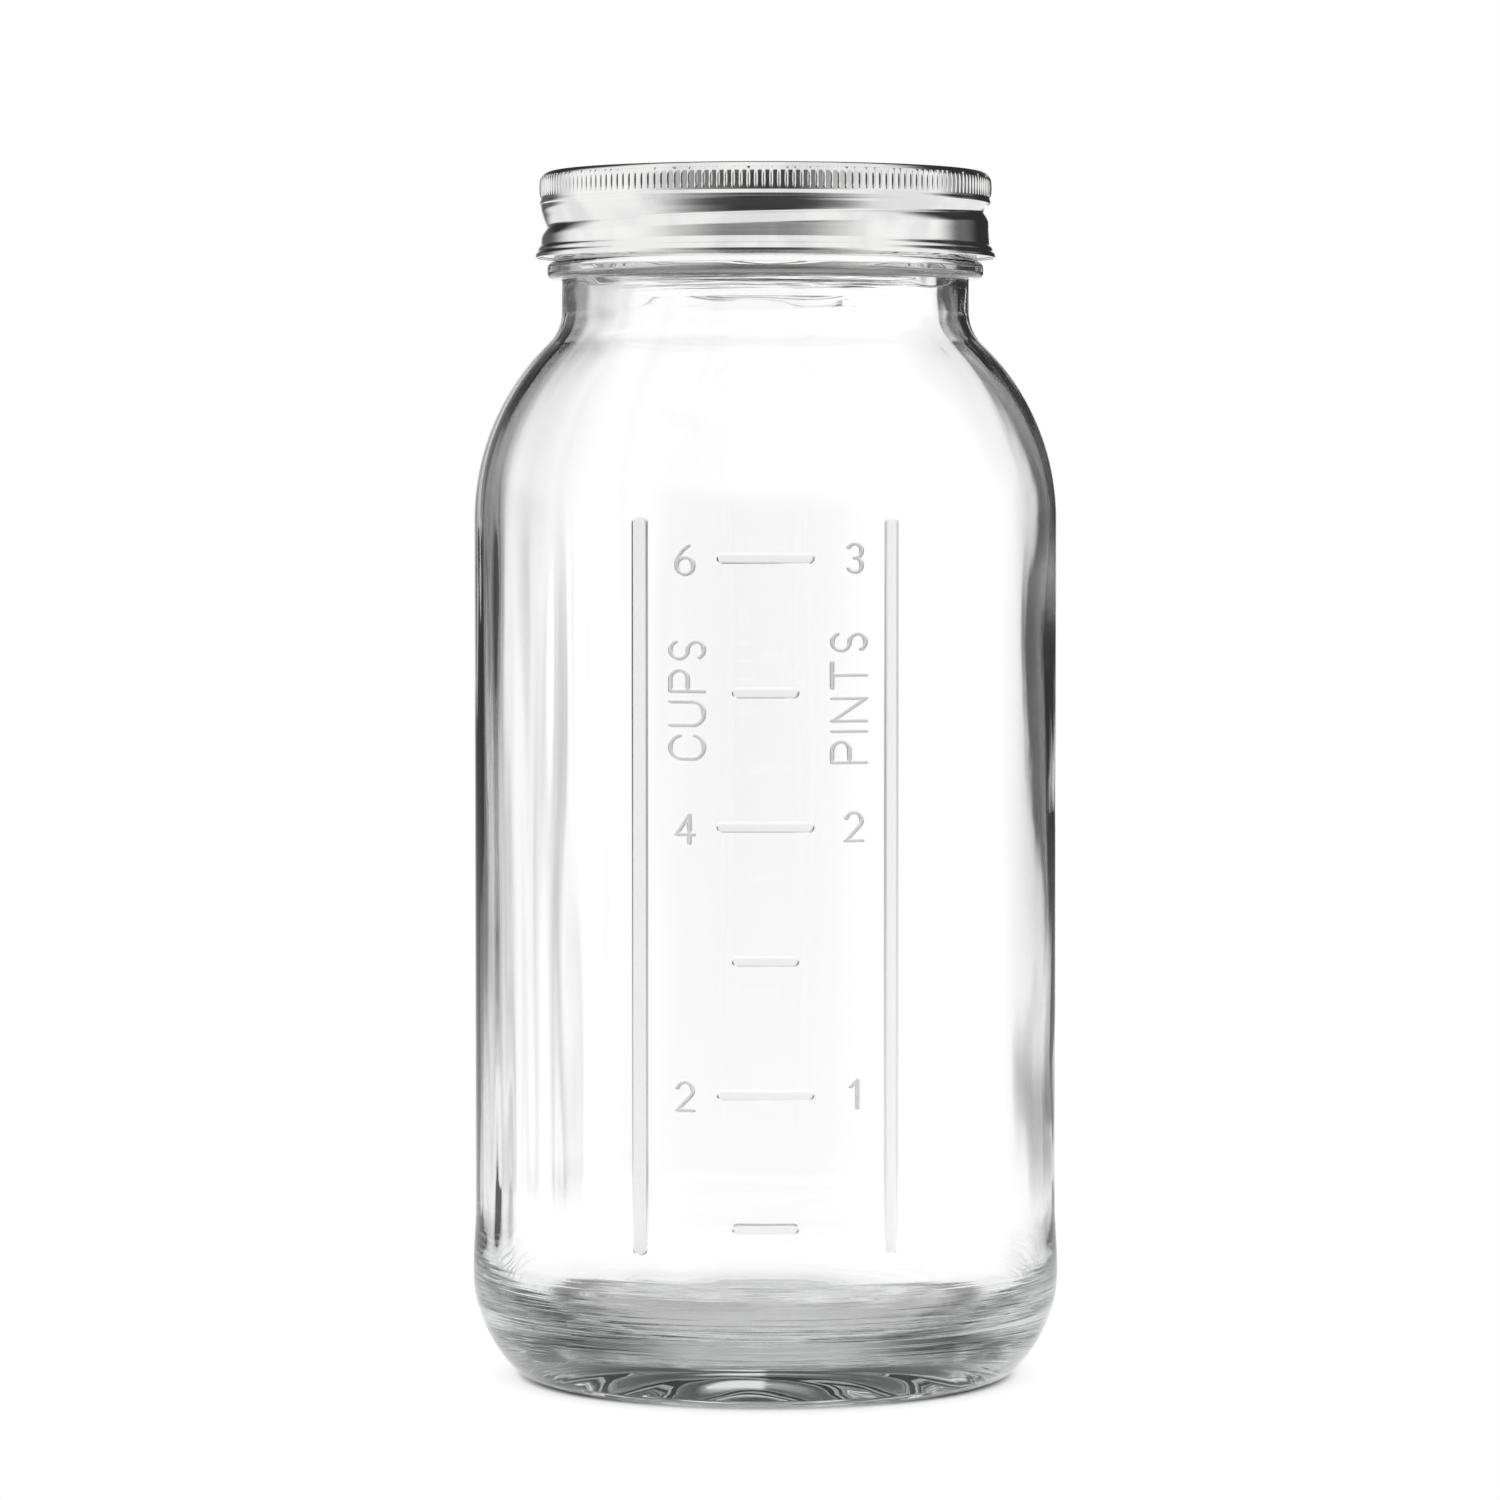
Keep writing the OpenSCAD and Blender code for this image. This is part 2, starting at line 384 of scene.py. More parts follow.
def close_tree(bench, geometry, material):
    """Ends a tree in Realize Instances and Set Material."""
    whole = bench.wire("GeometryNodeRealizeInstances", None, [geometry])
    painted = bench.wire("GeometryNodeSetMaterial", None, {"Geometry": whole, "Material": material})
    bench.node("NodeGroupOutput", None, [painted])


def run_tree(piece, tree, values):
    """Runs a geometry tree on a piece with these input values, and leaves the result as its plain mesh."""
    modifier = piece.modifiers.new(tree.name, "NODES")
    modifier.node_group = tree
    ids = {s.name: s.identifier for s in tree.interface.items_tree if s.in_out == "INPUT"}
    for label, value in values.items():
        modifier[ids[label]] = value
    settle(piece)


def settle(piece):
    """Turns what a piece's modifiers make into its own mesh, and removes them."""
    graph = bpy.context.evaluated_depsgraph_get()
    mesh = bpy.data.meshes.new_from_object(piece.evaluated_get(graph))
    piece.modifiers.clear()
    piece.data = mesh
    print(piece.name, "settled with", len(mesh.polygons), "faces")


# %% [markdown]
# Clear glass
#
# Soda-lime glass bends light with an index of about 1.5 and is very slightly green in thick places. A
# Principled shader with full transmission does the bending, and Volume Absorption inside it gives the tint
# by the length of the path, so the heel is darker than the wall. The outside was pressed against a polished
# mould, so it only has soft dimples. The inside was blown: fine cords run round the heel and the neck, where
# the glass folded, and faint draw marks run up the wall. They follow the outline, so their noise is laid out
# by angle and by row of the outline, and they go into the normal, which bends the view as real cords do.

# %% Make the glass
def new_material(name):
    material = bpy.data.materials.new(name)
    material.use_nodes = True
    material.node_tree.nodes.clear()
    return material, Bench(material.node_tree)


def make_glass(inner_row):
    """Clear glass. Rows of the outline above inner_row are the inside, which has cords and draw marks."""
    material, b = new_material("clear_glass")
    place = b.wire("ShaderNodeTexCoord", out=3)
    x, y, z = b.axes(place)
    row = b.wire("ShaderNodeAttribute", {"attribute_name": "row"}, out=2)
    stroke = b.wire("ShaderNodeAttribute", {"attribute_name": "stroke"}, out=2)
    radius = (x * x + y * y) ** 0.5 + 1e-5
    about, across = x / radius, y / radius
    round_cords = b.vector(about * 0.8, across * 0.8, row * 1.2)
    up_marks = b.vector(about * 4.5, across * 4.5, z * 7)
    cords = b.wire("ShaderNodeTexNoise", None, {"Vector": round_cords, "Scale": 1, "Detail": 3})
    marks = b.wire("ShaderNodeTexNoise", None, {"Vector": up_marks, "Scale": 1, "Detail": 1})
    dimples = b.wire("ShaderNodeTexNoise", None, {"Vector": place, "Scale": 60, "Detail": 2})
    smudges = b.wire("ShaderNodeTexNoise", None, {"Vector": place, "Scale": 35, "Detail": 4})
    heel = radius.ramp(0.03, 0.042) * (1 - z.ramp(0.014, 0.027))
    neck = z.ramp(0.211, 0.2135) * (1 - z.ramp(0.2145, 0.217)) * (1 - x.call("ABSOLUTE").ramp(0.014, 0.03))
    left = (0 - about).ramp(0.25, 0.6) * (1 - (0 - about).ramp(0.8, 0.98) * 0.6)
    drawn = z.ramp(0.02, 0.04) * (0.2 + left * (1 - z.ramp(0.15, 0.18)) * 1.3)
    inside = row > inner_row
    height = inside * (cords * (heel * 0.32 + neck * 1.3) + marks * drawn) + dimples * 0.03
    normal = b.wire("ShaderNodeBump", None, {"Strength": 1, "Distance": MM, "Height": height})
    shader = b.wire("ShaderNodeBsdfPrincipled", None, {
        "Base Color": (1, 1, 1, 1),
        "Roughness": smudges.ramp(0.62, 0.8) * 0.03 + stroke * 0.5,
        "IOR": 1.5,
        "Transmission Weight": 1,
        "Normal": normal,
    })
    tint = b.wire("ShaderNodeVolumeAbsorption", None, {"Color": (0.8, 0.82, 0.815, 1), "Density": 20})
    b.node("ShaderNodeOutputMaterial", None, {"Surface": shader, "Volume": tint})
    return material


# %% [markdown]
# Tinplate
#
# The lid and the band are thin steel with a bright tin coat. New tinplate is nearly a mirror, with fine
# rolling lines and a little haze where hands and the press have touched it. Metallic is 1, the colour is a
# neutral light grey, and the haze and the rolling lines go into roughness and a very small bump.

# %% Make the two tinplates
def make_tinplate(name, line_scale, shade, haze):
    """Bright tinplate. line_scale stretches the fine lines: long round the axis, short across them."""
    material, b = new_material(name)
    place = b.wire("ShaderNodeTexCoord", out=3)
    lined = b.wire("ShaderNodeMapping", None, {"Vector": place, "Scale": line_scale})
    lines = b.wire("ShaderNodeTexNoise", None, {"Vector": lined, "Scale": 900, "Detail": 4})
    clouds = b.wire("ShaderNodeTexNoise", None, {"Vector": place, "Scale": 90, "Detail": 5})
    specks = b.wire("ShaderNodeTexNoise", None, {"Vector": place, "Scale": 2600, "Detail": 2})
    height = lines * 0.6 + clouds * 2 + specks * 0.15
    normal = b.wire("ShaderNodeBump", None, {"Strength": 0.25, "Distance": 0.00003, "Height": height})
    dark = (shade * 0.86, shade * 0.86, shade * 0.87, 1)
    light = (shade, shade, shade * 0.99, 1)
    shader = b.wire("ShaderNodeBsdfPrincipled", None, {
        "Base Color": b.blend(clouds.ramp(0.35, 0.6), dark, light),
        "Metallic": 1,
        "Roughness": haze + lines.ramp(0.4, 0.75) * 0.06 + clouds.ramp(0.55, 0.75) * 0.1,
        "Normal": normal,
    })
    return material, b, shader


band_tin, band_bench, band_shader = make_tinplate("band_tinplate", (0.05, 0.05, 1), 0.86, 0.1)
band_bench.node("ShaderNodeOutputMaterial", None, {"Surface": band_shader})

# %% [markdown]
# The lid's enamel and the sealing compound
#
# The underside of a canning lid is sprayed with a pale enamel that keeps acid off the steel, while its top
# is bare tinplate. One material holds both: the way that the surface faces picks the tinplate or the enamel
# through a Mix Shader. The compound is a flowed-in ring of soft, matt grey plastisol with a fine skin.

# %% Make the lid's finish and the compound
def make_lid_finish():
    material, b, tin = make_tinplate("lid_tinplate", (1, 0.04, 1), 0.84, 0.14)
    place = b.wire("ShaderNodeTexCoord", out=3)
    grain = b.wire("ShaderNodeTexNoise", None, {"Vector": place, "Scale": 1400, "Detail": 3})
    patch = b.wire("ShaderNodeTexNoise", None, {"Vector": place, "Scale": 70, "Detail": 3})
    peel = b.wire("ShaderNodeBump", None, {"Strength": 0.2, "Distance": 0.00003, "Height": grain})
    enamel = b.wire("ShaderNodeBsdfPrincipled", None, {
        "Base Color": b.blend(patch.ramp(0.3, 0.7), (0.70, 0.69, 0.66, 1), (0.78, 0.77, 0.74, 1)),
        "Roughness": 0.32 + patch * 0.12,
        "Normal": peel,
    })
    facing = b.axes(b.wire("ShaderNodeNewGeometry", out=1))[2]
    mixed = b.wire("ShaderNodeMixShader", None, [facing.ramp(-0.1, 0.1), enamel, tin])
    b.node("ShaderNodeOutputMaterial", None, {"Surface": mixed})
    return material


def make_compound():
    material, b = new_material("sealing_compound")
    place = b.wire("ShaderNodeTexCoord", out=3)
    skin = b.wire("ShaderNodeTexNoise", None, {"Vector": place, "Scale": 1800, "Detail": 4})
    flow = b.wire("ShaderNodeTexNoise", None, {"Vector": place, "Scale": 120, "Detail": 3})
    normal = b.wire("ShaderNodeBump", None, {"Strength": 0.4, "Distance": 0.00004, "Height": skin})
    shader = b.wire("ShaderNodeBsdfPrincipled", None, {
        "Base Color": b.blend(flow, (0.16, 0.155, 0.15, 1), (0.26, 0.25, 0.24, 1)),
        "Roughness": 0.48 + flow * 0.2,
        "Normal": normal,
    })
    b.node("ShaderNodeOutputMaterial", None, {"Surface": shader})
    return material


lid_finish = make_lid_finish()
compound = make_compound()

# %% [markdown]
# The turned glass
#
# The mould shapes the outside, so it is smooth and true. The inside is only blown air, so it wanders: the
# wall is thicker in one place and thinner in another, the neck is lumpy, and the floor has swirls where the
# gob of glass landed. Bump alone would not bend the view through the glass, so these are real shapes: low
# sums of sines added to the inner rows, the same each time the file runs.

# %% Lay out the glass outline
wall_row_gap = 3
heel_turn = math.degrees(math.asin((foot_r - heel_z) / (heel_r - foot_r)))
foot_x = heel_out_r - heel_r + (heel_r - foot_r) * math.cos(math.radians(heel_turn))
shoulder_dx = (neck_r + neck_fillet_r) - (body_r - shoulder_r)
shoulder_dz = math.sqrt((shoulder_r + neck_fillet_r) ** 2 - shoulder_dx**2)
shoulder_z = neck_z - shoulder_dz
shoulder_turn = math.degrees(math.atan2(shoulder_dz, shoulder_dx))

foot_rows = crown(foot_x - bearing_w, 0, push_up, 12) + arc(foot_x, foot_r, foot_r, -90, heel_turn, 10)
heel_rows = arc(heel_out_r - heel_r, heel_z, heel_r, heel_turn, 0, 14)
swell_rows = upright_step(heel_out_r, heel_z + 1, body_r, heel_z + swell_blend, 8)
shoulder_rows = arc(body_r - shoulder_r, shoulder_z, shoulder_r, 0, shoulder_turn, 24)
neck_rows = arc(neck_r + neck_fillet_r, neck_z, neck_fillet_r, 180 + shoulder_turn, 180, 10)
bead_low, bead_high = bead_z - bead_h / 2, bead_z + bead_h / 2
bead_rows = (arc(neck_r + root_r, bead_low - root_r, root_r, 180, 90, 4)
             + arc(bead_r - bead_edge_r, bead_low + bead_edge_r, bead_edge_r, -90, 0, 8)
             + arc(bead_r - bead_edge_r, bead_high - bead_edge_r, bead_edge_r, 0, 90, 8))
finish_rows = refine([(finish_r, bead_high), (finish_r, rim_z - rim_edge_r)], 0.56)
rim_rows = arc(finish_r - rim_edge_r, rim_z - rim_edge_r, rim_edge_r, 0, 90, 6)
wall_rows = refine([(body_r, heel_z + swell_blend), (body_r, shoulder_z)], wall_row_gap)
outer = (refine(foot_rows + heel_rows + swell_rows, 6) + [tuple(p) for p in wall_rows]
         + refine(shoulder_rows + neck_rows, 6) + bead_rows + [tuple(p) for p in finish_rows] + rim_rows)

inner_rim = arc(mouth_r + rim_edge_r, rim_z - rim_edge_r, rim_edge_r, 90, 180, 6)
inner_neck = arc(neck_r + neck_fillet_r, neck_z, neck_fillet_r + wall, 180, 180 + shoulder_turn, 16)
inner_shoulder = arc(body_r - shoulder_r, shoulder_z, shoulder_r - wall, shoulder_turn, 0, 24)
inner_corner = arc(floor_r, floor_z + inner_heel_r, inner_heel_r, 0, -90, 20)
inner_floor = crown(floor_r, floor_z, floor_crown, 26)[::-1]
inner = refine(inner_rim + inner_neck, 1.2) + refine(inner_shoulder + inner_corner + inner_floor, 5)
outline = [tuple(p) for p in refine([*outer, *inner], 8)]
top_row = max(range(len(outline)), key=lambda i: outline[i][1])
inner_row = top_row + 8
glass = make_glass(inner_row)
print("glass outline of", len(outline), "rows, shoulder starts at", round(shoulder_z, 1))

# %% [markdown]
# Raised graduations
#
# The front of the jar carries a ladder: two upright ribs, a dash for each cup, longer at every second one,
# with the cup and pint numbers beside them and the two unit words reading upwards. On the real jar a
# round-nosed cutter has sunk them into the mould, so each stroke stands out of the glass with soft edges and
# round ends. Bars joined to the wall would leave hard seams that glass shows at once. So the strokes are
# drawn as lines on the plane of the front, and the wall itself is raised wherever a line runs behind it.

# %% Name the sizes of the graduations
first_mark_z = 35.6
mark_volume = 236588
mark_pitch = mark_volume / (math.pi * bore_r**2)
mark_margin = 5
mark_count = 1 + math.floor((shoulder_z - mark_margin - first_mark_z) / mark_pitch)
long_dash = 18.6
short_dash = 12.9
dash_h = 2.3
rib_x = 23.6
rib_w = 3.3
rib_bottom = first_mark_z - 5.8
rib_top = shoulder_z + 1.2
digit_h = 5.3
word_h = 6.3
letter_gap = 0.31
cutters = {
    "left rib": (rib_w / 2, 0.6, 0.26, 0.95),
    "right rib": (rib_w / 2, 1.05, 0.23, 0.9),
    "dashes": (dash_h / 2, 0.6, 0.25, 0.85),
    "letters": (0.53, 0.46, 0.19, 1.7),
}

# %% Draw the strokes of the digits and the letters
BOWL = 0.35
glyphs = {
    "1": [[(0, 0.76), (0.24, 1), (0.24, 0)]],
    "2": [arc(0.28, 0.72, 0.28, 165, -42) + [(0, 0), (0.58, 0)]],
    "3": [arc(0.28, 0.75, 0.25, 150, -90) + arc(0.28, 0.25, 0.25, 90, -150)],
    "4": [[(0.46, 0), (0.46, 1), (0, 0.3), (0.62, 0.3)]],
    "6": [arc(0.3, 0.3, 0.3, 180, 540), arc(0.8, 0.3, 0.8, 180, 118)],
    "C": [arc(BOWL, 1 - BOWL, BOWL, 12, 180) + arc(BOWL, BOWL, BOWL, 180, 348)],
    "I": [[(0, 0), (0, 1)]],
    "N": [[(0, 0), (0, 1), (0.67, 0), (0.67, 1)]],
    "P": [[(0, 0), (0, 1)] + arc(0.36, 0.74, 0.26, 90, -90) + [(0, 0.48)]],
    "S": [arc(0.3, 0.74, 0.26, 25, 270) + arc(0.3, 0.24, 0.24, 90, -155)],
    "T": [[(0, 1), (0.76, 1)], [(0.38, 1), (0.38, 0)]],
    "U": [[(0, 1)] + arc(BOWL, BOWL, BOWL, 180, 360) + [(2 * BOWL, 1)]],
}


def written(text, x, z, height, upwards):
    """The strokes of a text centred on (x, z) of the front, in millimetres."""
    strokes, pen = [], 0
    for letter in text:
        strokes += [np.array(line) + (pen, 0) for line in glyphs[letter]]
        pen = max(line[:, 0].max() for line in strokes) + letter_gap
    middle = np.array([(pen - letter_gap) / 2, 0.5])
    flat = [(line - middle) * height for line in strokes]
    return [np.stack([-line[:, 1], line[:, 0]], axis=1) + (x, z) if upwards else line + (x, z) for line in flat]


# %% Lay out every stroke of the ladder
strokes = {"left rib": [], "right rib": [], "dashes": [], "letters": []}
for kind, x in (("left rib", -rib_x), ("right rib", rib_x)):
    strokes[kind].append(np.array([(x, rib_bottom + rib_w / 2), (x, rib_top - rib_w / 2)]))
for i in range(mark_count):
    half_dash = (long_dash if i % 2 else short_dash) / 2 - dash_h / 2
    height = first_mark_z + i * mark_pitch
    strokes["dashes"].append(np.array([(-half_dash, height), (half_dash, height)]))
    if i % 2:
        strokes["letters"] += written(str(i + 1), -15.1, height - 0.3, digit_h, False)
        strokes["letters"] += written(str((i + 1) // 2), 16.6, height + 0.1, digit_h, False)
strokes["letters"] += written("CUPS", -14.7, 134.9, word_h, True)
strokes["letters"] += written("PINTS", 15.6, 135.3, word_h, True)
print("dashes", mark_count, "one cup apart:", round(mark_pitch, 2), "mm;", len(strokes["letters"]), "letter strokes")


# %% Work out where the wall has to be cut finer
segments = [(*a, *(b - a), *cutters[kind][:3]) for kind, lines in strokes.items() for line in lines
            for a, b in zip(line, line[1:])]
seg_x, seg_z, seg_dx, seg_dz, seg_half, seg_slope, seg_rise = np.array(segments).T
seg_left = np.minimum(seg_x, seg_x + seg_dx) - seg_half
seg_right = np.maximum(seg_x, seg_x + seg_dx) + seg_half
seg_low = np.minimum(seg_z, seg_z + seg_dz) - seg_half
seg_high = np.maximum(seg_z, seg_z + seg_dz) + seg_half


def relief(x, z):
    """Height of the raised strokes above the wall, at points of the front. Millimetres."""
    near = (seg_left < x.max()) & (seg_right > x.min()) & (seg_low < z.max()) & (seg_high > z.min())
    if not near.any():
        return np.zeros(x.shape)
    x = x[..., None] - seg_x[near]
    z = z[..., None] - seg_z[near]
    dx, dz = seg_dx[near], seg_dz[near]
    share = np.clip((x * dx + z * dz) / np.maximum(dx * dx + dz * dz, 1e-9), 0, 1)
    off = np.hypot(x - share * dx, z - share * dz)
    t = np.clip((seg_half[near] - off) / seg_slope[near], 0, 1)
    return (seg_rise[near] * t * t * (3 - 2 * t)).max(axis=-1)


def relief_changes(low, high, start, end):
    """Whether the relief changes upwards, and round, within a face of the outer wall."""
    if start < math.radians(240) or end > math.radians(300):
        return False, False
    z, a = np.meshgrid(np.linspace(low, high, 7), np.linspace(start, end, 7), indexing="ij")
    height = relief(body_r * np.cos(a), z)
    return np.ptp(height, axis=0).max() > relief_step, np.ptp(height, axis=1).max() > relief_step


relief_step = 0.012
wall_start = min(i for i, p in enumerate(outline) if abs(p[1] - heel_z - swell_blend) < 0.01)
relief_rows = range(wall_start - 3, wall_start + len(wall_rows) + 2)

# %% Give the inner face its wander and turn the glass
def glass_wander(a, r, z, row):
    """Moves the inner face of the glass. a is the angle, and row tells the inner rows from the outer ones."""
    inside = row > inner_row
    mid_wall = np.clip((z - 30) / 30, 0, 1) * np.clip((200 - z) / 40, 0, 1)
    slow = np.sin(2 * a + 0.8) * 0.28 + np.sin(3 * a + z / 47 + 2) * 0.14 + np.sin(5 * a - z / 31) * 0.07
    fast = np.sin(11 * a + z / 23) * 0.03 + np.sin(17 * a - z / 37 + 1) * 0.015
    right = np.clip(np.cos(a), 0, 1) ** 8 * (np.sin(z / 13 + 0.6) * 0.3 + np.sin(z / 7 + 2) * 0.12)
    left = np.clip(-np.cos(a), 0, 1) ** 8 * (np.sin(z / 21 + 1) * 0.16 + np.sin(z / 9) * 0.05)
    neck = np.exp(-(((z - 214) / 7) ** 2))
    lumps = (np.sin(5 * a + z / 1.9) * 0.05 + np.sin(13 * a - z / 1.1 + 1) * 0.025
             + np.sin(z / 0.6 + 2 * np.sin(3 * a)) * 0.035)
    low = np.exp(-(((z - 17) / 8) ** 2))
    folds = np.sin(z + 0.5 * np.sin(2 * a + 1)) * 0.07 + np.sin(z / 0.55 + 0.4 * np.sin(3 * a)) * 0.025
    r = r + inside * ((slow + fast + right + left) * mid_wall + lumps * neck + folds * low)
    on_floor = inside * (z < floor_z + 4) * np.clip((r - 2) / 8, 0, 1)
    rings = np.sin((r + 1.4 * np.cos(a + 0.6)) / 1.5) * 0.1 * np.clip((37 - r) / 8, 0, 1)
    swirl = np.sin(r / 4.3 - 2 * a) * 0.12 * np.clip(1.3 - r / 18, 0, 1)
    return r, z + on_floor * (rings + swirl)


jar = turn("jar_glass", outline, 240, glass_wander, relief_changes, relief_rows)

# %% [markdown]
# The thread on the finish
#
# The thread is a rounded ridge that climbs the finish one pitch in a turn, for one and a quarter turns, and
# fades into the glass at both ends. It could be a swept curve joined to the jar, but a join leaves seams
# inside the glass. So a geometry tree moves the points of the finish outwards instead: each point finds
# how far it is from the helix, and the three turns that can pass near it are added up.

# %% The helix as a rule that the glass and the band share
def near_helix(b, angle, height, start, pitch, below, above, run, fade, profile):
    """A ridge along the helix, which ends so far below and above it and fades out at both ends of its run.
    profile(t) is its rise, from 1 on the helix to 0 at its edge, where t is 1. Millimetres, degrees."""
    total = 0
    for turn_number in (-1, 0, 1):
        travel = angle + 360 * turn_number
        off = height - start - pitch * travel / 360
        t = off.call("ABSOLUTE") / (below + (off > 0) * (above - below))
        t = t.math("MINIMUM", t, 1)
        ends = 1 - travel.call("ABSOLUTE").ramp(run - fade, run)
        total = profile(t) * ends + total
    return total


def polar(b):
    """Angle from the front in degrees, radius and height in millimetres, of the point being moved."""
    x, y, z = b.axes(b.wire("GeometryNodeInputPosition"))
    angle = x.math("ARCTAN2", x, 0 - y) * math.degrees(1)
    radius = (x * x + y * y) ** 0.5 / MM
    return angle, radius, z / MM


def move_out(b, geometry, distance, radius):
    """Moves each point away from the axis by a distance in millimetres."""
    x, y, z = b.axes(b.wire("GeometryNodeInputPosition"))
    scale = distance / radius
    return b.wire("GeometryNodeSetPosition", None,
                  {"Geometry": geometry, "Offset": b.vector(x * scale, y * scale, 0 * z)})


# %% Raise the thread
def thread_tree():
    b, given = geometry_bench("jar_thread", [("Start height", "NodeSocketFloat"), ("Pitch", "NodeSocketFloat"),
                                             ("Rise", "NodeSocketFloat"), ("Finish radius", "NodeSocketFloat")])
    angle, radius, height = polar(b)
    ridge = near_helix(b, angle, height, given["Start height"], given["Pitch"], thread_half, thread_half,
                       thread_run, thread_fade, lambda t: (1 - t * t) ** 2)
    outside = (radius > given["Finish radius"] - 0.3) * (height > bead_z + bead_h / 2 + 0.3)
    lifted = move_out(b, given["Geometry"], ridge * outside * given["Rise"], radius)
    close_tree(b, lifted, glass)
    return b.tree


run_tree(jar, thread_tree(), {"Start height": thread_z, "Pitch": thread_pitch, "Rise": thread_rise,
                              "Finish radius": finish_r})

# %% [markdown]
# Raising the strokes
#
# The tree asks of each point of the wall how near it is to the drawing, measured on the plane of the front,
# and moves it outwards by a smooth step: full height inside the stroke, nothing outside it. It runs three
# times, once for each cutter, because ribs, dashes and letters have their own width, slope and height.

# %% Raise the ribs, the dashes and the letters
def drawing(name, lines):
    """Loose edges on the plane of the front."""
    points = [(x * MM, 0, z * MM) for line in lines for x, z in line]
    edges, start = [], 0
    for line in lines:
        edges += [(start + i, start + i + 1) for i in range(len(line) - 1)]
        start += len(line)
    mesh = bpy.data.meshes.new(name)
    mesh.from_pydata(points, edges, [])
    return bpy.data.objects.new(name, mesh)


def stroke_tree():
    b, given = geometry_bench("raised_strokes", [
        ("Drawing", "NodeSocketObject"), ("Half width", "NodeSocketFloat"), ("Slope", "NodeSocketFloat"),
        ("Rise", "NodeSocketFloat"), ("Matt", "NodeSocketFloat")])
    x, y, z = b.axes(b.wire("GeometryNodeInputPosition"))
    angle, radius, height = polar(b)
    lines = b.wire("GeometryNodeObjectInfo", None, {"Object": given["Drawing"]}, out=4)
    near = b.wire("GeometryNodeProximity", {"target_element": "EDGES"},
                  {"Geometry": lines, "Sample Position": b.vector(x, 0 * y, z)}, out=1) / MM
    lifted = 1 - near.ramp(given["Half width"] - given["Slope"], given["Half width"])
    lifted = lifted * (y < 0) * (radius > body_r - 0.1)
    moved = move_out(b, given["Geometry"], lifted * given["Rise"], radius)
    before = b.wire("GeometryNodeInputNamedAttribute", {"data_type": "FLOAT"}, {"Name": "stroke"})
    marked = b.wire("GeometryNodeStoreNamedAttribute", {"data_type": "FLOAT", "domain": "POINT"},
                    {"Geometry": moved, "Name": "stroke", "Value": before.math("MAXIMUM", before,
                                                                               lifted * given["Matt"])})
    close_tree(b, marked, glass)
    return b.tree


stroke_rule = stroke_tree()
for kind, (half, slope, rise, matt) in cutters.items():
    run_tree(jar, stroke_rule, {"Drawing": drawing(kind, strokes[kind]), "Half width": half, "Slope": slope,
                                "Rise": rise, "Matt": matt})


# %% Give the glass true normals
def true_normals(piece):
    """Large faces decide the normal of a point that they share with small ones, and the plain wall is a true
    cylinder. Averages that treat all faces alike tilt a little there, and would bend the view for nothing."""
    mesh = piece.data
    points = np.empty(len(mesh.vertices) * 3)
    mesh.vertices.foreach_get("co", points)
    points = points.reshape(-1, 3) / MM
    normals = np.zeros_like(points)
    for face in mesh.polygons:
        normals[list(face.vertices)] += np.array(face.normal) * face.area
    normals /= np.linalg.norm(normals, axis=1)[:, None]
    radius = np.hypot(points[:, 0], points[:, 1])
    plain = (abs(radius - body_r) < 0.002) & (points[:, 2] < shoulder_z) & (points[:, 2] > heel_z + swell_blend)
    normals[plain] = (points * (1, 1, 0))[plain] / body_r
    mesh.normals_split_custom_set_from_vertices(normals)
    print(piece.name, "has", int(plain.sum()), "points of plain wall")


true_normals(jar)

# %% [markdown]
# The flat lid and the seal
#
# The disc is stamped from one sheet: a level button in the middle, a panel, a sloping step, the channel
# that holds the compound, and a turned-down edge. A turned outline of the real sheet thickness is the
# direct way to draw it. The compound fills the channel and lies on the rim.

# %% Turn the lid and the seal
lid_t = 0.25
lid_edge_r = 1.2
lid_hem = 0.5
lid_flat_r = lid_r - lid_edge_r
panel_step = 3
panel_drop = 0.9
button_r = 13
button_rise = 0.4
seal_in_r = mouth_r + 0.3
panel_r = seal_in_r - lid_t - panel_step
lid_mid = lid_top - lid_t / 2
edge_bend_r = lid_edge_r - lid_t / 2
panel_z = lid_mid - panel_drop
ring_step = 1.2
lid_path = [
    (0, panel_z + button_rise),
    *level_step(button_r, panel_z + button_rise, button_r + panel_step, panel_z, 10),
    *level_step(panel_r, panel_z, panel_r + panel_step, lid_mid, 12),
    *arc(lid_flat_r, lid_mid - edge_bend_r, edge_bend_r, 90, 0, 8),
    (lid_flat_r + edge_bend_r, lid_mid - edge_bend_r - lid_hem),
]
lid_outline = sheet(refine(lid_path, ring_step), lid_t)
lid_outline[0][0] = lid_outline[-1][0] = 0
lid = turn("lid_disc", lid_outline, 192)
lid.data.materials.append(lid_finish)

seal_low = seal_box[2]
seal_high = seal_box[5]
seal_edge = 0.12
seal_outline = (arc(seal_r - seal_edge, seal_low + seal_edge, seal_edge, -90, 0, 3)
                + arc(seal_r - seal_edge, seal_high - seal_edge, seal_edge, 0, 90, 3)
                + arc(seal_in_r + seal_edge, seal_high - seal_edge, seal_edge, 90, 180, 3)
                + arc(seal_in_r + seal_edge, seal_low + seal_edge, seal_edge, 180, 270, 3))
seal = turn("seal_compound", seal_outline, 192)
seal.data.materials.append(compound)

# %% [markdown]
# The screw band
#
# The band starts as a plain cup with its bottom punched out, and is then rolled: a groove that follows the
# thread, a knurled belt under the top corner and a flared lower lip. A turned sheet gives the cup and the
# lip. The groove is not a ring but a helix, so a geometry tree presses it in by the same rule as the thread
# on the glass, and sets the ridges of the knurl round the belt.

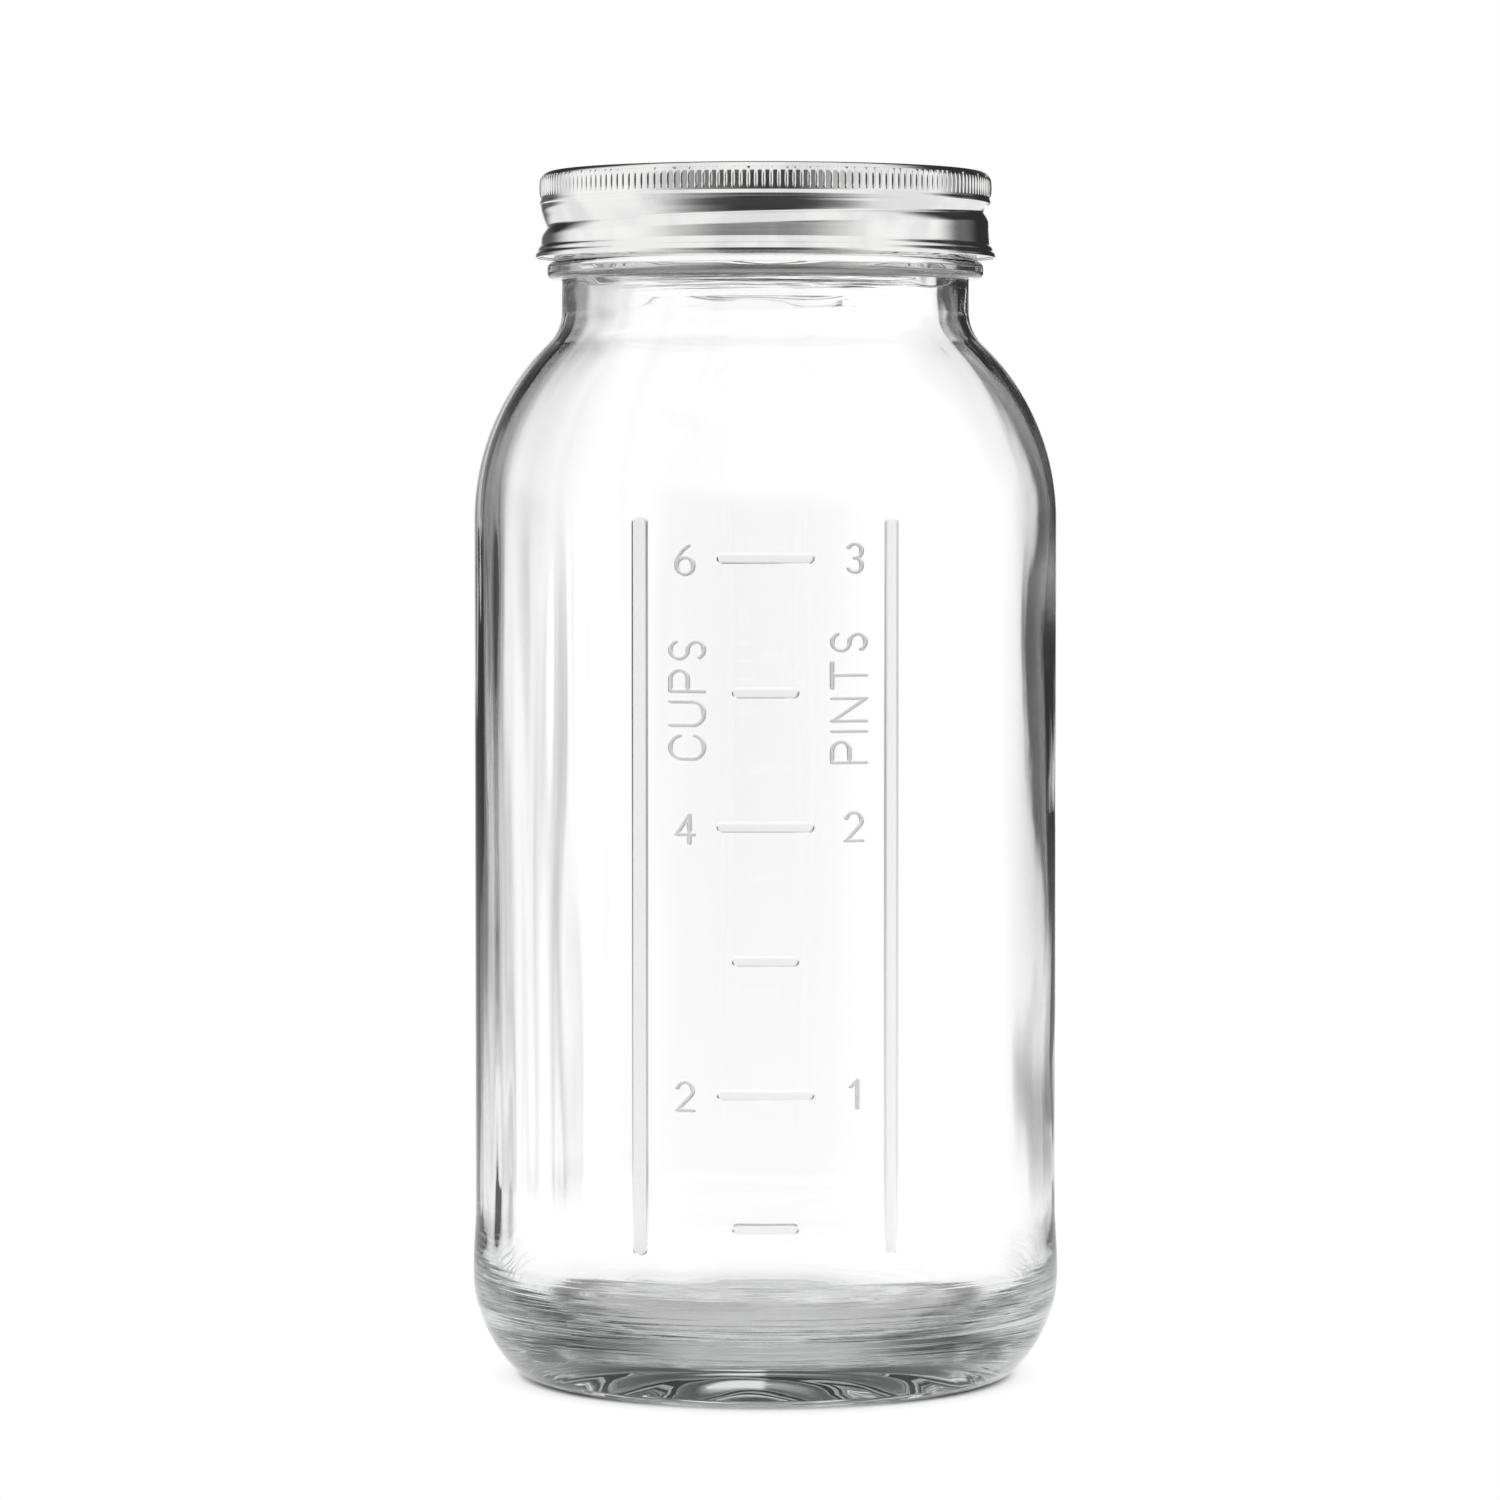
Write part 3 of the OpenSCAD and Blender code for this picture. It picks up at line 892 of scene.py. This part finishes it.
# %% Name the sizes of the band
band_t = 0.3
corner_r = 1.8
band_gap = 0.7
band_wall_r = lid_r + band_gap + band_t / 2
belt_r = band_wall_r + band_t / 2
knurl_rise = 0.26
knurl_h = 4.4
knurl_pitch = 1.45
knurl_count = round(2 * math.pi * belt_r / knurl_pitch)
knurl_z = band_top - 3.2
flare = 0.16
flare_h = 0.8
belt_low = knurl_z - knurl_h / 2 - flare_h
step_in = 0.25
step_h = 2.4
wall_r = band_wall_r - step_in
wall_taper = 0.2
low_wall_r = wall_r + wall_taper
hole_r = lid_r - 3.8
groove_depth = wall_r - band_t / 2 - 42.35
groove_below = 2.1
groove_above = 3.3
lip_h = 1.5

# %% Turn the sheet and shape one ridge
band_mid = band_top - band_t / 2
bend_r = corner_r - band_t / 2
lip_out_r = lip_r - band_t * 0.42
lip_steps = [(0, 2.8), (0.06, 2.55), (0.45, 2.1), (0.55, 1.9), (0.58, 1.5), (0.66, 1.35)]
band_path = [
    (hole_r, band_mid),
    *arc(band_wall_r - bend_r, band_mid - bend_r, bend_r, 90, 0, 12),
    (band_wall_r, belt_low + flare_h),
    (band_wall_r + flare, belt_low + 0.2),
    (band_wall_r + flare, belt_low),
    *upright_step(band_wall_r, belt_low - 0.2, wall_r, belt_low - step_h, 8),
    (wall_r, groove_z - groove_below),
    *[(low_wall_r + out, band_low + up) for out, up in lip_steps],
    (lip_out_r - 0.08, band_low + 0.95),
    (lip_out_r, band_low + 0.75),
    (lip_out_r, band_low + band_t / 2),
]
band = turn("band_sheet", sheet(refine(band_path, 0.25), band_t), 288)


def knurl_ridge(name, across=6, up=8):
    """One ridge of the knurl, upright, as a closed sliver with a rounded back. It is one unit each way."""
    bm = bmesh.new()
    rows = []
    for v in np.linspace(0, 1, up + 1):
        swell = math.sin(math.pi * v) ** 0.4
        rows.append([bm.verts.new((swell * (1 - abs(2 * u - 1) ** 1.3) - 0.4, (u - 0.5) * 0.75, v - 0.5))
                     for u in np.linspace(0, 1, across + 1)])
    for low, high in zip(rows, rows[1:]):
        for j in range(across):
            bm.faces.new((low[j], low[j + 1], high[j + 1], high[j]))
        bm.faces.new((low[across], low[0], high[0], high[across]))
    bm.faces.new(rows[0][::-1])
    bm.faces.new(rows[-1])
    bmesh.ops.recalc_face_normals(bm, faces=bm.faces)
    for face in bm.faces:
        face.smooth = True
    mesh = bpy.data.meshes.new(name)
    bm.to_mesh(mesh)
    bm.free()
    return bpy.data.objects.new(name, mesh)


# %% Roll the groove and set the knurl
def band_tree():
    b, given = geometry_bench("band_rolling", [
        ("Start height", "NodeSocketFloat"), ("Pitch", "NodeSocketFloat"), ("Depth", "NodeSocketFloat"),
        ("Ridge", "NodeSocketObject"), ("Ridges", "NodeSocketInt")])
    angle, radius, height = polar(b)
    groove = near_helix(b, angle, height, given["Start height"], given["Pitch"], groove_below, groove_above,
                        200, 50, lambda t: (1 - t) ** 1.5)
    below_belt = 1 - height.ramp(belt_low - 1.2, belt_low - 0.1)
    above_lip = height.ramp(band_low + lip_h, band_low + 2 * lip_h)
    pressed = move_out(b, given["Geometry"], groove * below_belt * above_lip * given["Depth"] * -1, radius)
    belt = b.wire("GeometryNodeMeshCircle", None, {"Vertices": given["Ridges"], "Radius": belt_r * MM})
    x, y, z = b.axes(b.wire("GeometryNodeInputPosition"))
    turned = b.wire("FunctionNodeEulerToRotation", None, [b.vector(0, 0, y.math("ARCTAN2", y, x))])
    ridge = b.wire("GeometryNodeObjectInfo", None, {"Object": given["Ridge"]}, out=4)
    ridges = b.wire("GeometryNodeInstanceOnPoints", None, {
        "Points": belt, "Instance": ridge, "Rotation": turned,
        "Scale": (knurl_rise * 1.6 * MM, knurl_pitch * MM, knurl_h * MM)})
    raised = b.wire("GeometryNodeTransform", None, {"Geometry": ridges, "Translation": (0, 0, knurl_z * MM)})
    joined = b.node("GeometryNodeJoinGeometry")
    b.tree.links.new(raised.socket, joined.inputs[0])
    b.tree.links.new(pressed.socket, joined.inputs[0])
    close_tree(b, Wire(b, joined.outputs[0]), band_tin)
    return b.tree


ridge_shape = knurl_ridge("knurl_ridge")
run_tree(band, band_tree(), {"Start height": groove_z, "Pitch": thread_pitch, "Depth": groove_depth,
                             "Ridge": ridge_shape, "Ridges": knurl_count})
print("knurl of", knurl_count, "ridges")

# %% [markdown]
# Let the pieces ride
#
# Each piece takes the place of one node of the construction model and moves with that node's body: the
# glass stays, the disc and its seal rise together, and the band turns as it rises.

# %% Tie each piece to its body
for piece, node, body, slot in (
    (jar, "glass_jar", "jar", "glass_jar"),
    (lid, "flat_lid", "lid", "flat_lid"),
    (seal, "sealing_ring", "lid", "sealing_ring"),
    (band, "screw_band", "band", "screw_band"),
):
    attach(piece, body)
    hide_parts(node)

# %% [markdown]
# A white studio
#
# Glass has no colour of its own in a studio: what shows is the room bent through it. The jar stands before
# a white window of light, with dark flags to the left and right of it that draw the dark edge lines, and
# bright walls beside the camera. The world shader paints that room by direction. The floor is a pale disc
# that glows a little, so that it meets the white background without an edge and still keeps a shadow.
# Beneath the foot a painted contact shadow darkens the floor's colour and takes away its glow.

# %% Build the room
def make_world():
    world = bpy.data.worlds.new("white_studio")
    bpy.context.scene.world = world
    world.use_nodes = True
    world.node_tree.nodes.clear()
    b = Bench(world.node_tree)
    grey = lambda level: (level, level, level, 1)
    x, y, z = b.axes(b.wire("ShaderNodeTexCoord", out=0))
    az = x.math("ARCTAN2", x.call("ABSOLUTE"), 0 - y) * math.degrees(1)
    rise = z.math("ARCSINE", z) * math.degrees(1)
    walls = b.blend(x.ramp(-0.01, 0.01), az.ramp(14, 75), az.ramp(10, 62))
    left = b.blend(az.ramp(118, 144), grey(1.05), grey(0.12))
    right = b.blend(az.ramp(96, 118), grey(1.05), grey(0.16))
    right = b.blend(az.ramp(125, 142), right, grey(0.03))
    shade = b.blend(x.ramp(-0.01, 0.01), left, right)
    shade = b.blend(walls, grey(0.05), shade)
    behind = b.blend(x.ramp(-0.01, 0.01), az.ramp(118, 146), az.ramp(88, 116))
    behind = b.blend(rise.ramp(42, 60), behind, grey(0))
    hood = b.blend(behind, grey(1), grey(0.03))
    shade = b.blend(rise.ramp(7, 18), shade, hood)
    low_dark = b.blend(rise.ramp(-24, -8), grey(0.03), grey(0.38))
    low_front = b.blend(az.ramp(12, 82), low_dark, grey(1))
    shade = b.blend(1 - rise.ramp(-10, -2), shade, low_front)
    shade = b.blend((0 - y).ramp(0, 0.6) * (1 - rise.ramp(-52, -36)), shade, grey(0.06))
    above = (rise - 4).math("MAXIMUM", rise - 4, 0) / 14
    off_left, off_right = (180 - az) / 16, (180 - az) / 11
    soft_window = 1 - ((off_left * off_left + above * above) ** 0.5).ramp(-0.05, 1.15)
    sharp_window = 1 - ((off_right * off_right + above * above) ** 0.5).ramp(0.75, 1.2)
    window = b.blend(x.ramp(-0.01, 0.01), soft_window, sharp_window)
    shade = b.blend(window, shade, grey(1.1))
    path = b.node("ShaderNodeLightPath")
    bent = Wire(b, path.outputs["Is Glossy Ray"]) + Wire(b, path.outputs["Is Transmission Ray"])
    colour = b.blend(bent.ramp(0, 1), grey(1), shade)
    backdrop = b.wire("ShaderNodeBackground", None, {"Color": colour, "Strength": 1})
    b.node("ShaderNodeOutputWorld", None, {"Surface": backdrop})


def make_floor(radius=0.13, whole=0.075):
    """A pale disc that is whole near the jar and fades out to its edge. Beneath the foot a painted contact shadow
    darkens its colour and takes away its glow, more towards the sides.
    """
    bpy.ops.mesh.primitive_circle_add(vertices=96, radius=radius, fill_type="NGON")
    floor = bpy.context.object
    floor.name = "studio_floor"
    material, b = new_material("pale_floor")
    x, y, z = b.axes(b.wire("ShaderNodeTexCoord", out=3))
    far = (x * x + y * y) ** 0.5
    # Painted contact shadow: beneath the foot the floor is darkened, only a little inside the bearing ring, more
    # towards the sides, and a little further out behind the jar.
    shade_at_sides = (x.call("ABSOLUTE") / (far + 1e-5)).ramp(0.3, 0.8)
    ring = 0.18 + far.ramp(0.036, 0.041) * 0.82
    edge = far - y.ramp(0, 0.03) * 0.004
    painted_contact_shadow = ring * (1 - edge.ramp(0.0455, 0.05)) * (0.45 + shade_at_sides * 0.55)
    # Inside the painted shadow the diffuse colour turns to near black and the glow goes out.
    matt = b.wire("ShaderNodeBsdfDiffuse", None, {
        "Color": b.blend(painted_contact_shadow, (0.82, 0.82, 0.82, 1), (0.06, 0.06, 0.06, 1))})
    glow = b.wire("ShaderNodeEmission", None, {"Color": b.blend(painted_contact_shadow, (0.5, 0.5, 0.5, 1), (0, 0, 0, 1))})
    lit = b.wire("ShaderNodeAddShader", None, [matt, glow])
    clear = b.wire("ShaderNodeBsdfTransparent")
    fade = far.ramp(whole, radius)
    b.node("ShaderNodeOutputMaterial", None, {"Surface": b.wire("ShaderNodeMixShader", None, [fade, lit, clear])})
    floor.data.materials.append(material)


make_world()
make_floor()

# %% [markdown]
# The camera
#
# The photograph was taken from a little over a metre away with a long lens, slightly above the middle of
# the jar and looking a little down. The jar stands a touch right of the middle of the frame, which is a
# lens shift, so that uprights stay as they are.

# %% Place the camera
camera_distance = 1165
camera_height = 176.3
camera_tilt = 2.617
image_side = 1500
jar_axis_offset = 15.5

camera = bpy.data.objects.new("camera", bpy.data.cameras.new("camera"))
bpy.context.scene.collection.objects.link(camera)
camera.location = (0, -camera_distance * MM, camera_height * MM)
camera.rotation_euler = (math.radians(90 - camera_tilt), 0, 0)
camera.data.sensor_width = 36
camera.data.lens = 142.297
camera.data.shift_x = -jar_axis_offset / image_side
bpy.context.scene.camera = camera

scene = bpy.context.scene
scene.view_settings.view_transform = "Standard"
scene.cycles.max_bounces = 24
scene.cycles.transmission_bounces = 24
scene.cycles.glossy_bounces = 12
